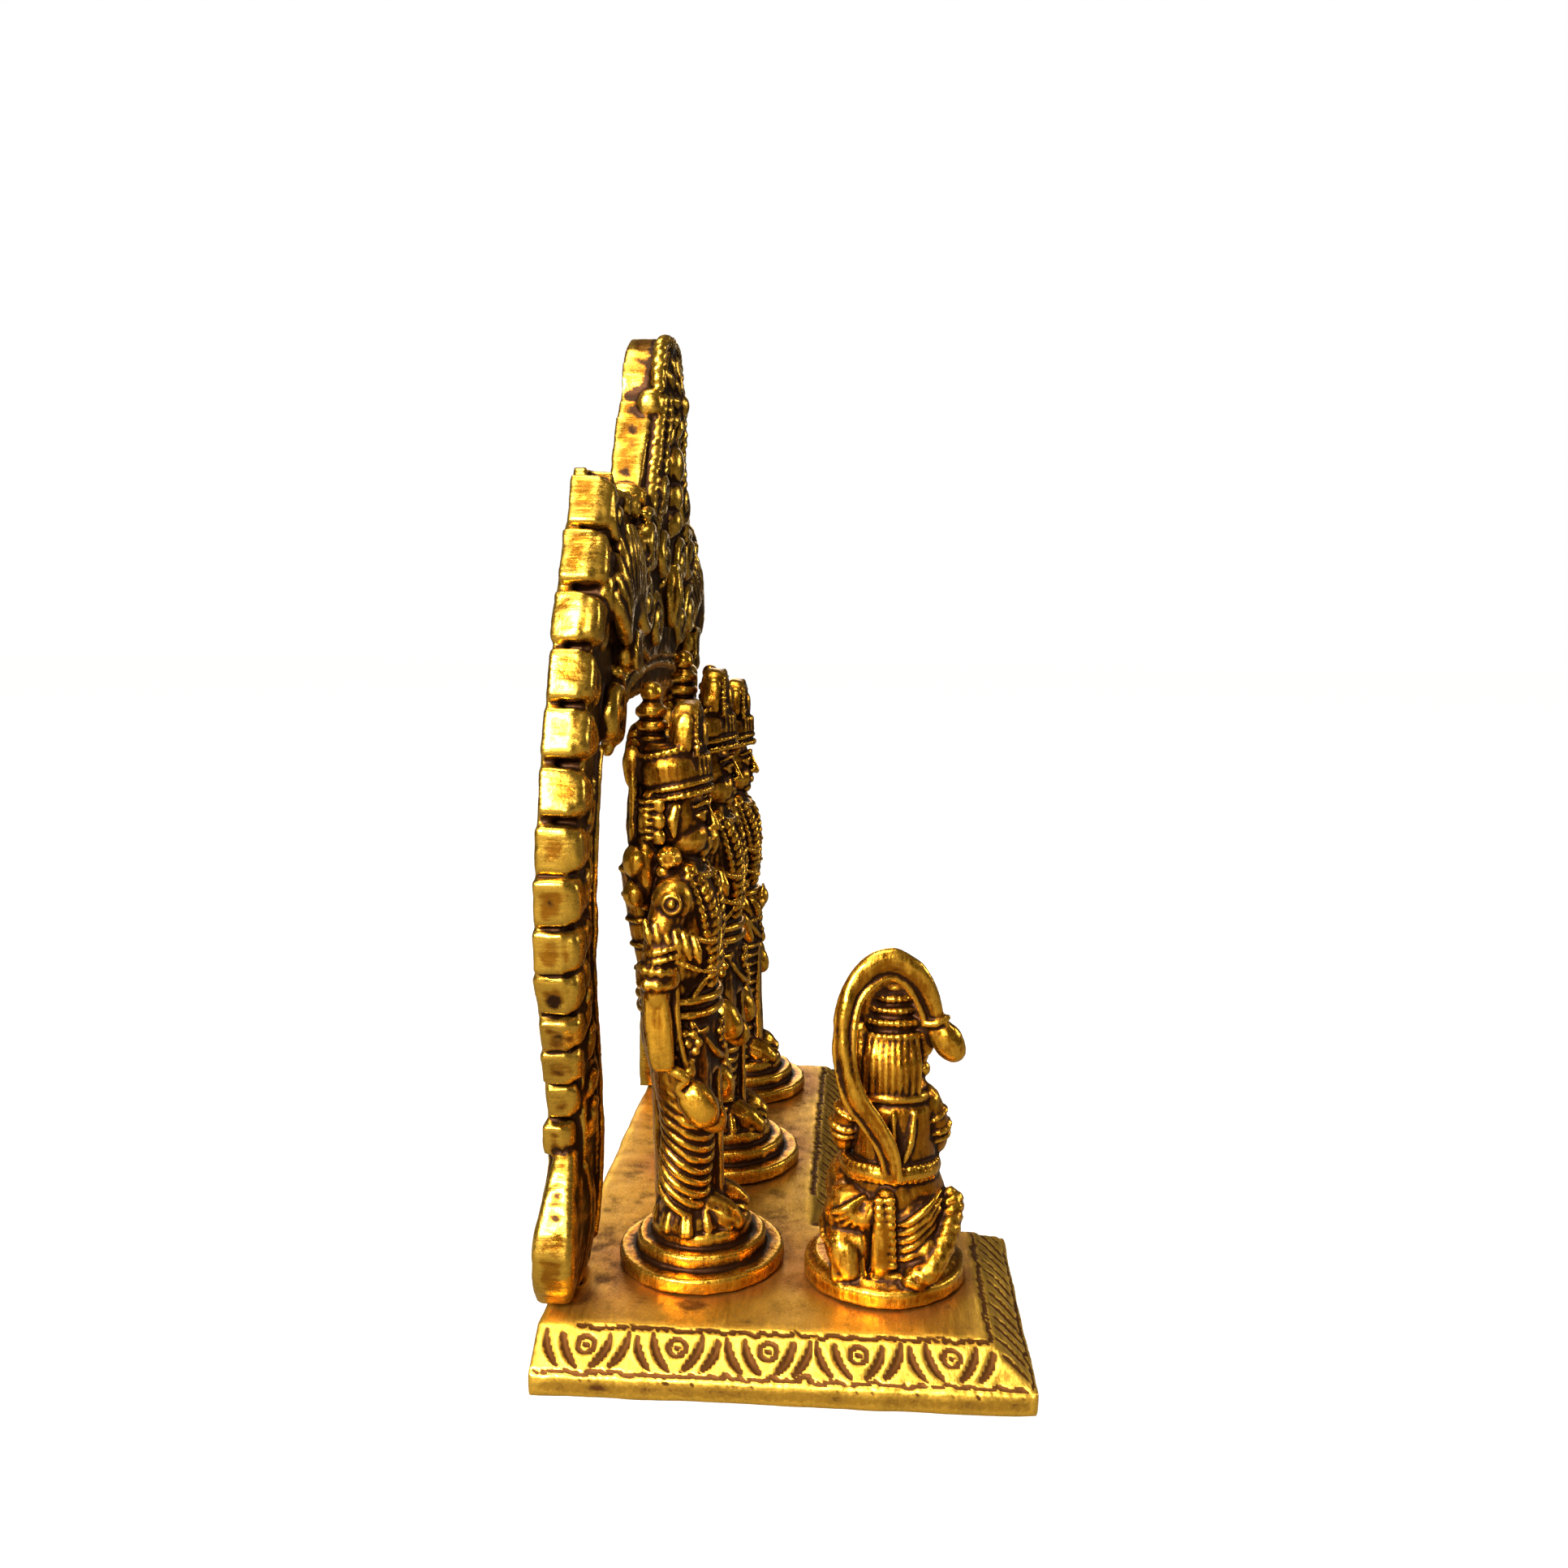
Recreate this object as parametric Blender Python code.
"""Brass group of three standing figures and a kneeling one before a flame arch, on an L-shaped plate.

Metres, +Z up. The figures face -Y, and the row of standing figures runs along X. The origin is the
middle of the bounding box at the plate's underside.
"""

import math

import bmesh
import bpy
from mathutils import Vector

# Driving dimensions, in metres.
TOTAL_HEIGHT = 0.150
BASE_LENGTH = 0.120
BASE_DEPTH = 0.068
BACK_ROW_DEPTH = 0.0424
CORNER_LENGTH = 0.0438
WALL_HEIGHT = 0.0033
BASE_HEIGHT = 0.0073
BEVEL_RUN = 0.0060
RIM_WIDTH = 0.0075
TOP_THICKNESS = 0.0030
BACK_WALL = 0.0019
ARCH_OVERHANG = 0.0014
ARCH_THICKNESS = 0.0056
CREST_THICKNESS = 0.0086
ARCH_LEAN = math.radians(2.4)
GAP = 0.0003

FIGURE_SPACING = 0.037
FIGURE_ROW_X = 0.0035
FIGURE_FROM_BACK = 0.0203
KNEEL_X = -0.0360
KNEEL_FROM_BACK = 0.0479

# The three steps of a pedestal: radius and height of each, from the bottom.
PEDESTAL_STEPS = ((0.0124, 0.0023), (0.0098, 0.0023), (0.0076, 0.0021))
KNEEL_DISC = (0.0119, 0.0024)

# An M3 screw with a washer holds each figure, and an M2 screw each foot of the arch, all from below.
FIGURE_SCREW = {"shank": 0.0015, "head": 0.0028, "head_height": 0.0012, "reach": 0.0050, "washer": 0.0035}
ARCH_SCREW = {"shank": 0.0010, "head": 0.0017, "head_height": 0.0010, "reach": 0.0045, "washer": 0}
WASHER_THICKNESS = 0.0005
SLOT_WIDTH = 0.0005
SLOT_DEPTH = 0.0005
ARCH_SCREW_X = 0.0425
ARCH_SCREW_FROM_BACK = 0.0025

# Places worked out from the driving dimensions.
BACK_Y = (BASE_DEPTH + ARCH_OVERHANG) / 2 - ARCH_OVERHANG
FRONT_Y = BACK_Y - BASE_DEPTH
NEAR_X = -BASE_LENGTH / 2
FIGURE_Y = BACK_Y - FIGURE_FROM_BACK
KNEEL_Y = BACK_Y - KNEEL_FROM_BACK
STAND_Z = BASE_HEIGHT + GAP
ARCH_BACK_Y = BACK_Y + ARCH_OVERHANG
HOLLOW_TOP = BASE_HEIGHT - TOP_THICKNESS
MERGE_DISTANCE = 0.00001
MM = 0.001

BRASS = (0.56, 0.36, 0.08, 1.0)
STEEL = (0.45, 0.44, 0.42, 1.0)


# Scene and mesh helpers.
def clear_scene():
    for old in list(bpy.data.objects):
        bpy.data.objects.remove(old)


def make_material(name, colour, roughness):
    material = bpy.data.materials.new(name)
    material.use_nodes = True
    shader = material.node_tree.nodes["Principled BSDF"]
    shader.inputs["Base Color"].default_value = colour
    shader.inputs["Roughness"].default_value = roughness
    shader.inputs["Metallic"].default_value = 1.0
    return material


def make_object(name, bm, material):
    """Turns a bmesh into an object of the assembly, with its normals facing out."""
    bmesh.ops.recalc_face_normals(bm, faces=bm.faces)
    mesh = bpy.data.meshes.new(name)
    bm.to_mesh(mesh)
    bm.free()
    mesh.materials.append(material)
    mesh.shade_smooth()
    mesh.set_sharp_from_angle(angle=math.radians(35))
    obj = bpy.data.objects.new(name, mesh)
    assembly.objects.link(obj)
    return obj


def evaluated_mesh(obj):
    graph = bpy.context.evaluated_depsgraph_get()
    return bpy.data.meshes.new_from_object(obj.evaluated_get(graph), depsgraph=graph)


def combine(first, others, operation):
    """Joins the other solids to the first, or cuts them from it, and keeps only the result."""
    for other in others:
        modifier = first.modifiers.new(other.name, "BOOLEAN")
        modifier.operation = operation
        modifier.solver = "EXACT"
        modifier.object = other
    mesh = evaluated_mesh(first)
    first.modifiers.clear()
    first.data = mesh
    for other in others:
        bpy.data.objects.remove(other)
    return first


def loft(rings, name, material):
    """A closed skin over a stack of rings that all have the same number of points."""
    bm = bmesh.new()
    rows = [[bm.verts.new(point) for point in ring] for ring in rings]
    count = len(rows[0])
    for low, high in zip(rows, rows[1:]):
        for i in range(count):
            j = (i + 1) % count
            bm.faces.new((low[i], low[j], high[j], high[i]))
    bm.faces.new(list(reversed(rows[0])))
    bm.faces.new(rows[-1])
    return make_object(name, bm, material)


def ellipse(centre, half_x, half_y, count=16):
    """A level ring about a centre, half_x and half_y being its half widths."""
    turn = 2 * math.pi / count
    return [
        Vector(centre) + Vector((half_x * math.cos(i * turn), half_y * math.sin(i * turn), 0))
        for i in range(count)
    ]


def cylinder(name, radius, height, base, material, count=32):
    bm = bmesh.new()
    bmesh.ops.create_cone(
        bm, cap_ends=True, segments=count, radius1=radius, radius2=radius, depth=height
    )
    bmesh.ops.translate(bm, verts=bm.verts, vec=Vector(base) + Vector((0, 0, height / 2)))
    return make_object(name, bm, material)


def ball(name, half_sizes, centre, material, around=12, along=8):
    bm = bmesh.new()
    bmesh.ops.create_uvsphere(bm, u_segments=around, v_segments=along, radius=1)
    bmesh.ops.scale(bm, verts=bm.verts, vec=half_sizes)
    bmesh.ops.translate(bm, verts=bm.verts, vec=centre)
    return make_object(name, bm, material)


def tube(name, points, material):
    """A round limb along (x, y, z, radius) points, as a bevelled curve made into a closed mesh."""
    curve = bpy.data.curves.new(name, "CURVE")
    curve.dimensions = "3D"
    curve.bevel_depth = 1.0
    curve.bevel_resolution = 2
    curve.use_fill_caps = True
    spline = curve.splines.new("POLY")
    spline.points.add(len(points) - 1)
    for target, (x, y, z, radius) in zip(spline.points, points):
        target.co = (x, y, z, 1)
        target.radius = radius
    guide = bpy.data.objects.new(name + "_path", curve)
    bpy.context.scene.collection.objects.link(guide)
    bm = bmesh.new()
    bm.from_mesh(evaluated_mesh(guide))
    bmesh.ops.remove_doubles(bm, verts=bm.verts, dist=MERGE_DISTANCE)
    bpy.data.objects.remove(guide)
    return make_object(name, bm, material)


# The plate.
def plate_outline(inset, back_inset, z):
    """The L-shaped outline, drawn in from its edges by inset, and at the back by back_inset."""
    far_x = -NEAR_X - inset
    step_x = NEAR_X + CORNER_LENGTH - inset
    step_y = BACK_Y - BACK_ROW_DEPTH + inset
    back = BACK_Y - back_inset
    front = FRONT_Y + inset
    near = NEAR_X + inset
    corners = (
        (near, front),
        (step_x, front),
        (step_x, step_y),
        (far_x, step_y),
        (far_x, back),
        (near, back),
    )
    return [Vector((x, y, z)) for x, y in corners]


def build_base():
    rings = (
        plate_outline(0, 0, 0),
        plate_outline(0, 0, WALL_HEIGHT),
        plate_outline(BEVEL_RUN, 0, BASE_HEIGHT),
    )
    plate = loft(rings, "base_plate", brass)
    hollow_rings = (
        plate_outline(RIM_WIDTH, BACK_WALL, -GAP),
        plate_outline(RIM_WIDTH, BACK_WALL, HOLLOW_TOP),
    )
    cutters = [loft(hollow_rings, "hollow", brass)]
    for i, fixing in enumerate(fixings):
        bottom = Vector((fixing["x"], fixing["y"], -GAP))
        bore = fixing["shank"] + GAP
        pocket = fixing["head"] + GAP
        cutters.append(cylinder(f"bore_{i}", bore, BASE_HEIGHT + 2 * GAP + MM, bottom, brass, 16))
        cutters.append(cylinder(f"pocket_{i}", pocket, HOLLOW_TOP + GAP, bottom, brass, 24))
    return combine(plate, cutters, "DIFFERENCE")


# The arch. Points are (half width, height above the plate's top), in millimetres.
LEG_OUTER = ((48.5, 0), (52.5, 3.5), (54, 9.4), (51.5, 14.5), (46.8, 18.5), (46.5, 22.5))
BLOCK_EDGE = (
    (49, 32.4),
    (53.5, 41.5),
    (57.5, 50.5),
    (58.5, 62.5),
    (57.8, 70.4),
    (54.5, 86.4),
    (48, 103.4),
    (42.5, 116),
)
SHOULDER = ((38.5, 115.5), (33, 114), (26, 114), (20, 116), (16.6, 120), (13.8, 125.5))
LEG_INNER = ((45, 74), (46, 63.5), (43.5, 47), (37.5, 31), (35, 23.5), (33.5, 14), (36, 4.4), (37.5, 0))
OPENING_HALF_WIDTH = 43.5
OPENING_SPRING = 78
OPENING_RISE = 6
FINIAL_RADIUS = 10.8
ROUND_STEPS = 6
BLOCKS_PER_SIDE = 14
NOTCH_DEPTH = 1.2
NOTCH_SHARES = ((0, NOTCH_DEPTH), (0.16, NOTCH_DEPTH), (0.24, 0), (0.96, 0))
CREST_OUTLINE = ((0, 92), (14, 91), (26, 94.5), (32, 101), (27, 108), (17.5, 113.5), (12, 122.5))
CREST_SHRINK = 0.9


def along(points, share):
    """The point a share of the way along a run of points, by length."""
    lengths = [math.dist(a, b) for a, b in zip(points, points[1:])]
    left = share * sum(lengths)
    for a, b, length in zip(points, points[1:], lengths):
        if left <= length:
            return Vector(a).lerp(Vector(b), left / length)
        left -= length
    return Vector(points[-1])


def block_share(step):
    """How far along the edge a block starts, since the blocks grow taller upward."""
    even = step / BLOCKS_PER_SIDE
    return even * (0.78 + 0.22 * even)


def notched_edge():
    """The outer edge of one leg above its foot: square blocks with a slot below each."""
    points = []
    for i in range(BLOCKS_PER_SIDE):
        for share, depth in NOTCH_SHARES:
            point = along(BLOCK_EDGE, block_share(i + share))
            points.append((point.x - depth, point.y))
    return points


def quarter_round(half_width, spring, rise):
    """A quarter of an ellipse, from its side at the spring line to its top on the middle line."""
    turn = math.pi / 2 / ROUND_STEPS
    side_to_top = [
        (half_width * math.cos(i * turn), spring + rise * math.sin(i * turn)) for i in range(ROUND_STEPS)
    ]
    return [*side_to_top, (0, spring + rise)]


def mirrored(half):
    """A closed outline from the half of it at x >= 0, which starts and ends on the middle line."""
    return [*half, *((-x, z) for x, z in reversed(half) if x > 0)]


def leaning_slab(name, outline, front, back):
    """A slab between two distances in front of the arch's back face, which leans forward."""
    slope = math.tan(ARCH_LEAN)
    rings = [
        [Vector((x * MM, ARCH_BACK_Y - depth - slope * z * MM, STAND_Z + z * MM)) for x, z in outline]
        for depth in (front, back)
    ]
    return loft(rings, name, brass)


def build_arch():
    top = (TOTAL_HEIGHT - STAND_Z) / MM
    finial = quarter_round(FINIAL_RADIUS, top - FINIAL_RADIUS, FINIAL_RADIUS)
    opening = quarter_round(OPENING_HALF_WIDTH, OPENING_SPRING, OPENING_RISE)
    half = [*reversed(opening), *LEG_INNER, *LEG_OUTER, *notched_edge(), *SHOULDER, *finial]
    slab = leaning_slab("arch", mirrored(half), ARCH_THICKNESS, 0)
    inner_finial = [(x * CREST_SHRINK, z - (1 - CREST_SHRINK) * FINIAL_RADIUS) for x, z in finial]
    crest_outline = mirrored([*CREST_OUTLINE, *inner_finial])
    crest = leaning_slab("crest", crest_outline, CREST_THICKNESS, ARCH_THICKNESS / 2)
    arch = combine(slab, [crest], "UNION")
    return combine(arch, [tapped_hole(side) for side in arch_fixings], "DIFFERENCE")


# The figures, in millimetres about the pedestal's middle at the plate's top.
# Rows of a body are (height, middle of the depth, half width, half depth).
ROBE_AND_CHEST = (
    (6, 2.6, 4.8, 3.6),
    (15.4, 2, 5.6, 4.4),
    (20.4, 1.6, 5.8, 4.3),
    (26.4, 2.4, 6.6, 5.2),
    (34, 3.2, 7.6, 5.9),
    (40.4, 3.4, 6.4, 5.6),
    (44, 3.2, 5.7, 5),
    (50, 2.8, 7.2, 5),
    (56, 3, 8.8, 4.6),
    (59.5, 3.2, 8.2, 3.6),
    (61.2, 3.2, 3.2, 3),
    (64.5, 3, 2.7, 2.6),
)
CROWN = (
    (70.5, 3.2, 5, 5),
    (76.5, 3.4, 5.2, 5.2),
    (77.4, 4.2, 4.4, 4.2),
    (82.5, 4.6, 3.6, 3.5),
    (83.4, 5.8, 1.8, 1.8),
    (87, 5.8, 1.1, 1.1),
)
HEAD = {"half": (4.5, 5, 6), "middle": (0, 2.8, 68)}
FEET = ((2.3, -2.2), (-2.3, -2.2))
STRAIGHT_ARM = ((8.6, 3.6, 57, 2.3), (9.8, 5, 45.5, 2.1), (8.8, 4.8, 33.5, 1.9), (6.8, -1.2, 27, 1.8))
RAISED_ARM = ((8.6, 3.6, 57, 2.3), (9.8, 3, 44, 2.1), (8, -2.6, 45, 1.9), (5, -3.8, 51, 1.7))
QUIVER = ((1.5, 8.6, 47, 1.8), (2.5, 9.2, 55, 2.3), (3.2, 9.4, 62, 1.9))
CENTRE_SCALE = 1.04


def place(local, foot, scale=1.0):
    """A point of a figure, in millimetres about its pedestal, as a place in the assembly."""
    return Vector(foot) + Vector(local) * scale * MM


def body_of(name, rows, foot, scale):
    rings = [
        ellipse(place((0, depth, height), foot, scale), half_x * scale * MM, half_y * scale * MM)
        for height, depth, half_x, half_y in rows
    ]
    return loft(rings, name, brass)


def limb_of(name, points, foot, scale, side):
    placed = [(*place((side * x, y, z), foot, scale), radius * scale * MM) for x, y, z, radius in points]
    return tube(name, placed, brass)


def ball_of(name, half, middle, foot, scale):
    return ball(name, [h * scale * MM for h in half], place(middle, foot, scale), brass)


def pedestal(name, foot):
    """Round steps, each let into the one below it."""
    steps = []
    base = Vector(foot)
    for i, (radius, height) in enumerate(PEDESTAL_STEPS):
        sink = GAP if i else 0
        steps.append(cylinder(f"{name}_step_{i}", radius, height + sink, base - Vector((0, 0, sink)), brass))
        base.z += height
    return steps


def tapped_hole(fixing):
    """The blind hole in a casting's foot for its screw."""
    bottom = (fixing["x"], fixing["y"], BASE_HEIGHT)
    depth = fixing["reach"] + 2 * GAP
    return cylinder("tapped_hole", fixing["shank"] + GAP, depth, bottom, brass, 16)


def build_standing_figure(name, fixing, scale, arms, has_quiver):
    foot = (fixing["x"], fixing["y"], STAND_Z)
    first, *parts = pedestal(name, foot)
    first.name = name
    parts.append(body_of("body", ROBE_AND_CHEST, foot, scale))
    parts.append(ball_of("head", HEAD["half"], HEAD["middle"], foot, scale))
    parts.append(body_of("crown", CROWN, foot, scale))
    parts += [ball_of("foot", (1.9, 5.2, 1.6), (x, y, 7.4), foot, scale) for x, y in FEET]
    parts += [limb_of("arm", points, foot, scale, side) for side, points in zip((-1, 1), arms)]
    if has_quiver:
        parts.append(limb_of("quiver", QUIVER, foot, scale, 1))
    figure = combine(first, parts, "UNION")
    return combine(figure, [tapped_hole(fixing)], "DIFFERENCE")


# The kneeling figure faces +X, along the row. Rows are (height, middle in X, half size in X, in Y).
KNEEL_BODY = (
    (2, 0, 8.6, 8.8),
    (9, 0.4, 8.8, 8.8),
    (14, -0.4, 7.8, 8.2),
    (18, -1.4, 5.8, 7.2),
    (22, -1.8, 5, 6.4),
    (27.5, -1.4, 5.2, 7),
    (30, -1.4, 3.6, 5.2),
    (32, -1.2, 3, 3.4),
)
KNEEL_HEAD = {"half": (4.8, 5, 6), "middle": (-0.6, -0.6, 34.5)}
KNEEL_CROWN = ((36, -1.4, 5.2, 5.4), (39, -1.6, 4.6, 4.8), (41.5, -1.8, 3.2, 3.2), (43.4, -1.8, 1.6, 1.6))
KNEEL_ARM = ((-1.4, 6.6, 27.5, 2.2), (0.6, 8.2, 21.5, 2), (5, 5.4, 22.5, 1.8), (6.4, 1.4, 26, 1.7))
KNEE = {"half": (5, 3.6, 5.6), "middle": (5.4, 4, 9)}
TAIL = (
    (-5.4, -1.2, 18, 1.4),
    (-7.2, 2.6, 25.6, 1.4),
    (-7.8, 5.4, 31.8, 1.4),
    (-7.8, 6.4, 38, 1.4),
    (-7, 5.8, 44.2, 1.4),
    (-6, 3.4, 48, 1.4),
    (-5.4, 0.2, 49.4, 1.4),
    (-5.2, -3.6, 47.8, 1.4),
    (-4.4, -6.2, 43.6, 1.4),
    (-3.2, -7.6, 38.4, 1.5),
    (-2, -9.8, 34, 1.4),
)


def build_kneeling_figure(fixing):
    foot = (fixing["x"], fixing["y"], STAND_Z)
    radius, height = KNEEL_DISC
    disc = cylinder("kneeling_figure", radius, height, foot, brass)
    rows = [
        ellipse(place((middle, -1.2 if z > 12 else 0, z), foot), half_x * MM, half_y * MM)
        for z, middle, half_x, half_y in KNEEL_BODY
    ]
    crown_rows = [
        ellipse(place((middle, -0.6, z), foot), half_x * MM, half_y * MM)
        for z, middle, half_x, half_y in KNEEL_CROWN
    ]
    parts = [loft(rows, "body", brass), loft(crown_rows, "crown", brass)]
    parts.append(ball_of("head", KNEEL_HEAD["half"], KNEEL_HEAD["middle"], foot, 1))
    parts.append(ball_of("knee", KNEE["half"], KNEE["middle"], foot, 1))
    for side in (-1, 1):
        arm = [(x, side * y - 1.2, z, r) for x, y, z, r in KNEEL_ARM]
        parts.append(limb_of("arm", arm, foot, 1, 1))
    parts.append(limb_of("tail", TAIL, foot, 1, 1))
    figure = combine(disc, parts, "UNION")
    return combine(figure, [tapped_hole(fixing)], "DIFFERENCE")


# Fasteners, put in from the plate's hollow underside.
def build_screw(fixing):
    """A slotted cheese-head screw, its head below the plate's web and its shank up into the casting."""
    has_washer = fixing["washer"] > 0
    head_top = HOLLOW_TOP - GAP - (WASHER_THICKNESS + GAP if has_washer else 0)
    head_bottom = head_top - fixing["head_height"]
    levels = (
        (fixing["head"], head_bottom),
        (fixing["head"], head_top),
        (fixing["shank"], head_top),
        (fixing["shank"], BASE_HEIGHT + fixing["reach"]),
    )
    rings = [ellipse((fixing["x"], fixing["y"], z), radius, radius, 24) for radius, z in levels]
    screw = loft(rings, f"{fixing['name']}_screw", steel)
    bm = bmesh.new()
    bmesh.ops.create_cube(bm, size=1)
    bmesh.ops.scale(bm, verts=bm.verts, vec=(3 * fixing["head"], SLOT_WIDTH, 2 * SLOT_DEPTH))
    bmesh.ops.translate(bm, verts=bm.verts, vec=(fixing["x"], fixing["y"], head_bottom))
    return combine(screw, [make_object("slot", bm, steel)], "DIFFERENCE")


def build_washer(fixing):
    bottom = (fixing["x"], fixing["y"], HOLLOW_TOP - GAP - WASHER_THICKNESS)
    ring = cylinder(f"{fixing['name']}_washer", fixing["washer"], WASHER_THICKNESS, bottom, steel, 24)
    eye_bottom = Vector(bottom) - Vector((0, 0, GAP))
    eye = cylinder("eye", fixing["shank"] + GAP, WASHER_THICKNESS + 2 * GAP, eye_bottom, steel, 24)
    return combine(ring, [eye], "DIFFERENCE")


def fixing_at(name, x, y, kind):
    return {"name": name, "x": x, "y": y, **kind}


clear_scene()
assembly = bpy.data.collections.new("brass_deity_group")
bpy.context.scene.collection.children.link(assembly)
brass = make_material("brass", BRASS, 0.38)
steel = make_material("steel", STEEL, 0.45)

near, centre, far = (
    fixing_at(f"{name}_figure", FIGURE_ROW_X + step * FIGURE_SPACING, FIGURE_Y, FIGURE_SCREW)
    for step, name in ((-1, "near"), (0, "centre"), (1, "far"))
)
kneeling = fixing_at("kneeling_figure", KNEEL_X, KNEEL_Y, FIGURE_SCREW)
arch_fixings = [
    fixing_at(f"arch_{name}_foot", side * ARCH_SCREW_X, BACK_Y - ARCH_SCREW_FROM_BACK, ARCH_SCREW)
    for side, name in ((-1, "near"), (1, "far"))
]
fixings = [near, centre, far, kneeling, *arch_fixings]

build_base()
build_arch()
build_standing_figure("near_figure", near, 1.0, (STRAIGHT_ARM, STRAIGHT_ARM), True)
build_standing_figure("centre_figure", centre, CENTRE_SCALE, (STRAIGHT_ARM, STRAIGHT_ARM), True)
build_standing_figure("far_figure", far, 1.0, (RAISED_ARM, STRAIGHT_ARM), False)
build_kneeling_figure(kneeling)
for each in fixings:
    build_screw(each)
    if each["washer"]:
        build_washer(each)
